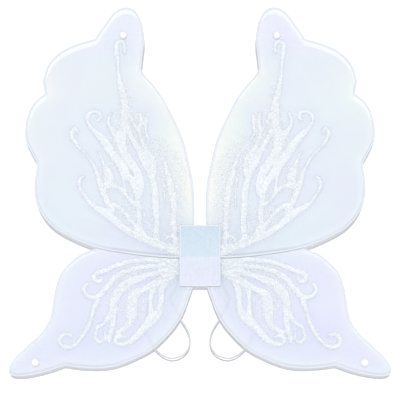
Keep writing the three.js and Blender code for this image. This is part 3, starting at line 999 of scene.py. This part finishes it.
class Panel:
    """The centre panel's outline and the front of its cover, the same on both sides of the middle."""

    def __init__(self):
        low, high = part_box("front_cover_right")
        self.half_width = high.x
        self.half_height = high.z
        self.front = low.y
        self.thickness = high.y - low.y

    def heights(self, x):
        """The panel's lowest and highest point at x, with its corners rounded."""
        past = max(0.0, abs(x) - (self.half_width - CORNER_RADIUS))
        top = self.half_height - CORNER_RADIUS + math.sqrt(max(0.0, CORNER_RADIUS**2 - past**2))
        return -top, top

    def cover_depths(self, x, z):
        """The y of the cover's front and back."""
        out = abs(x)
        below = min(1.0, max(0.0, (UPPER_WINGS_END - z) / (self.half_height + UPPER_WINGS_END)))
        drop = SIDE_DROP * (out / self.half_width) ** 2 + LOW_DROP * below**2 * (3 - 2 * below)
        ripple = RIPPLE * noise.noise(Vector((out * 190, z * 70, 1.0))) * min(1.0, out / RIPPLE_FADE)
        front = self.front + drop + RIPPLE * min(1.0, out / RIPPLE_FADE) + ripple
        return front, self.front + drop + self.thickness

    def edge_line(self, sign, inset_by, radius, proud, step):
        """(x, y, z) points of a round trim along one side of the cover's edge, from the top to the bottom."""
        wide, high = self.half_width - inset_by, self.half_height - inset_by
        corner = []
        for turn in np.linspace(0, math.pi / 2, 7):
            in_x, in_z = 1 - math.sin(turn), 1 - math.cos(turn)
            corner.append((wide - CORNER_RADIUS * in_x, high - CORNER_RADIUS * in_z))
        line = resampled([(0, high), *corner, *[(x, -z) for x, z in corner[::-1]], (0, -high)], step)
        points = []
        for x, z in line:
            front = self.cover_depths(x, z)[0]
            points.append((sign * x, front + radius - min(proud, FOLD_ROOM * x), z))
        return np.array(points)


def folding(piece):
    """Bake the piece's place into its points."""
    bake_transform(piece)


def cover(side, made):
    """The front cover of one half, its rolled binding and the row of stitches inside it."""
    sign = SIDES[side]
    shape = Panel()
    xs = columns_between(0, sign * shape.half_width, COVER_STEP)
    name = f"cover_fabric_{side}"
    fabric = soft_plate(name, xs, shape.heights, shape.cover_depths, made["cover"], rolled_start=False)
    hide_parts(f"front_cover_{side}")
    line = shape.edge_line(sign, BINDING_INSET, BINDING_RADIUS, BINDING_PROUD, COVER_STEP)
    binding = tube(f"cover_binding_{side}", line, np.full(len(line), BINDING_RADIUS), 12, made["binding"])
    line = shape.edge_line(sign, STITCH_INSET, THREAD_RADIUS, 2 * THREAD_RADIUS, STITCH_STEP)
    stitches = stitch_row(f"cover_stitches_{side}", line, made["thread"])
    for piece in (fabric, binding, stitches):
        folding(piece)


def flaps(side, made):
    """The cover's two flaps that turn back to the pad between the wings, above and below."""
    sign = SIDES[side]
    shape = Panel()
    pad_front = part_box(f"pad_{side}")[0].y
    for place, reach in FLAP_REACH.items():
        edge = shape.half_height if place == "top" else -shape.half_height
        inner = edge - math.copysign(FLAP_THICKNESS, edge)
        low, high = sorted((edge, inner))
        xs = columns_between(0, sign * reach, COVER_STEP)

        def heights(x):
            return low, high

        def depths(x, z):
            return shape.cover_depths(x, edge)[1] - FLAP_SUNK, pad_front + FLAP_SUNK

        flap = soft_plate(f"cover_flap_{place}_{side}", xs, heights, depths, made["cover"], False)
        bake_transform(flap)


def flat_depths(low, high):
    """The front and back y of a flat piece between two corners, as soft_plate asks for them."""
    return lambda x, z: (low.y, high.y)


def pad(side, made):
    """The soft lining of one half, against the wearer's back."""
    low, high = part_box(f"pad_{side}")
    sign = SIDES[side]
    inner, outer = sorted((abs(low.x), abs(high.x)))
    xs = columns_between(sign * inner, sign * outer, PAD_STEP)
    lining = soft_plate(f"pad_lining_{side}", xs, Panel().heights, flat_depths(low, high), made["pad"])
    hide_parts(f"pad_{side}")
    folding(lining)


def band(node, body, made):
    """A folded strip of lining in a CAD node's place, stitched round its edge on the side that shows."""
    low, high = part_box(node)
    xs = columns_between(low.x, high.x, BAND_STEP)

    def heights(x):
        return low.z, high.z

    strip = soft_plate(f"{node}_fabric", xs, heights, flat_depths(low, high), made["pad"])
    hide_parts(node)
    left, right = low.x + BAND_STITCH_INSET, high.x - BAND_STITCH_INSET
    bottom, top = low.z + BAND_STITCH_INSET, high.z - BAND_STITCH_INSET
    corners = [(left, bottom), (right, bottom), (right, top), (left, top), (left, bottom)]
    ring = resampled(corners, STITCH_STEP)
    where, y = ("back", high.y) if body == "spine" else ("front", low.y)
    line = np.stack([ring[:, 0], np.full(len(ring), y), ring[:, 1]], axis=1)
    seam = stitch_row(f"{node}_stitches_{where}", line, made["thread"])
    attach(seam, body)
    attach(strip, body)


def panel(made):
    band("spine_strip", "spine", made)
    for side in SIDES:
        cover(side, made)
        flaps(side, made)
        pad(side, made)
        for place in LEVELS:
            band(f"strap_tab_{place}_{side}", f"{side}_half", made)


def carried_over(made):
    """CAD nodes that are shown as they are, with their own finishes."""
    for name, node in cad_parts.items():
        for ending, key in (("_wire", "wire"), ("_sleeve", "sleeve")):
            if name.endswith(ending):
                node.data.materials.clear()
                node.data.materials.append(made[key])
        if name.startswith("board"):
            node.data.materials.clear()
            node.data.materials.append(made["board"])


# ---- arm loops ----

# In millimetres on the right side, (out, up). The elastic leaves each tab straight down for its lead.
ELASTIC_LEAD = 5
ELASTIC_STEP = 0.7
BRAID_LENGTH = 2.1 * MM  # one turn of the elastic's braid
LOWER_TAB_END = (30.65, -26.3)
UPPER_TAB_END = (33.5, 28.7)
ELASTIC_ROUTE = [
    (32.5, -40), (37, -51), (41.5, -60), (38.6, -68.5), (33, -78), (27, -89.5), (20, -100.5),
    (15.5, -111), (14.3, -122), (17.4, -132.5), (25.3, -140.5), (39, -144.5), (52, -140.5),
    (63, -131), (70, -120), (74, -108), (75.5, -90), (72, -62), (61, -27), (47, 4),
]


def arm_loop(side, material):
    """The round elastic, from under the lower tab round to under the upper tab, with its braid."""
    sign = SIDES[side]
    low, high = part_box(f"elastic_loop_{side}")
    depth = (low.y + high.y) / 2
    diameter = high.y - low.y
    first = (LOWER_TAB_END[0], LOWER_TAB_END[1] - ELASTIC_LEAD)
    last = (UPPER_TAB_END[0], UPPER_TAB_END[1] - ELASTIC_LEAD)
    line = spline([LOWER_TAB_END, first, *ELASTIC_ROUTE, last, UPPER_TAB_END], ELASTIC_STEP) * MM
    path = np.stack([sign * line[:, 0], np.full(len(line), depth), line[:, 1]], axis=1)
    steps = np.linalg.norm(np.diff(path, axis=0), axis=1)
    travelled = np.concatenate([[0], np.cumsum(steps)])
    radii = diameter / 2 * (0.97 + 0.03 * np.sin(2 * math.pi * travelled / BRAID_LENGTH))
    loop = tube(f"elastic_{side}", path, radii, 12, material)
    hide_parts(f"elastic_loop_{side}")
    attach(loop, f"{side}_loop")


# ---- stage ----


def one_sided_white(name):
    """White from the front and clear from behind, so that the wall doesn't hide the wings' backs."""
    n = Nodes(name, Base_Color=(1, 1, 1, 1), Roughness=0.9, Emission_Strength=WALL_GLOW)
    n.shader.inputs["Emission Color"].default_value = (1, 1, 1, 1)
    tree = n.tree
    clear = tree.nodes.new("ShaderNodeBsdfTransparent")
    choose = tree.nodes.new("ShaderNodeMixShader")
    sight = tree.nodes.new("ShaderNodeNewGeometry")
    tree.links.new(sight.outputs["Backfacing"], choose.inputs[0])
    tree.links.new(n.shader.outputs[0], choose.inputs[1])
    tree.links.new(clear.outputs[0], choose.inputs[2])
    tree.links.new(choose.outputs[0], tree.nodes["Material Output"].inputs["Surface"])
    return n.material


def stage():
    square = [(a * STAGE_SIZE, b * STAGE_SIZE) for a, b in ((-1, -1), (1, -1), (1, 1), (-1, 1))]
    floor_z = CAD_BOX[0].z - FLOOR_DROP
    wall_points = [(x, BACKDROP_GAP, z) for x, z in square]
    floor_points = [(x, y, floor_z) for x, y in square]
    wall = mesh_piece("wall", wall_points, [(0, 1, 2, 3)], one_sided_white("wall_paint"), smooth=False)
    floor_paint = simple_fabric("floor_paint", (0.9, 0.9, 0.9), 40.0)
    floor = mesh_piece("floor", floor_points, [(0, 1, 2, 3)], floor_paint, smooth=False)
    # The wall catches the wings' shadows, but throws neither light nor shadow back on them.
    wall.visible_diffuse = False
    wall.visible_shadow = False
    world = bpy.data.worlds.new("world")
    world.use_nodes = True
    background = world.node_tree.nodes["Background"]
    background.inputs["Color"].default_value = (1, 1, 1, 1)
    background.inputs["Strength"].default_value = WORLD_STRENGTH
    bpy.context.scene.world = world
    sun("key", FRONT_SUN, 90 - SUN_HEIGHT)
    sun("fill_behind", BACK_SUN, SUN_HEIGHT - 90)
    bpy.context.scene.view_settings.view_transform = "Standard"


def sun(name, energy, tip):
    """A soft sun from above, which shines from the front with a positive tip, else from behind."""
    light = bpy.data.lights.new(name, "SUN")
    light.energy = energy
    light.angle = math.radians(SUN_WIDTH)
    lamp = bpy.data.objects.new(name, light)
    lamp.rotation_euler = (math.radians(tip), 0, 0)
    bpy.context.scene.collection.objects.link(lamp)


def main():
    camera()
    stage()
    made = make_materials()
    for side in SIDES:
        arm_loop(side, made["elastic"])
    for level, side in WINGS:
        wing = Wing(level, side)
        strokes = Strokes(wing, STROKES[level])
        wing_mesh(wing, strokes, made["film"])
        hem(wing, made["hem"])
        pearl(wing, made["pearl"])
        veins(wing, strokes, made["vein"])
        flakes(wing, strokes, made["flake"])
    panel(made)
    carried_over(made)


main()
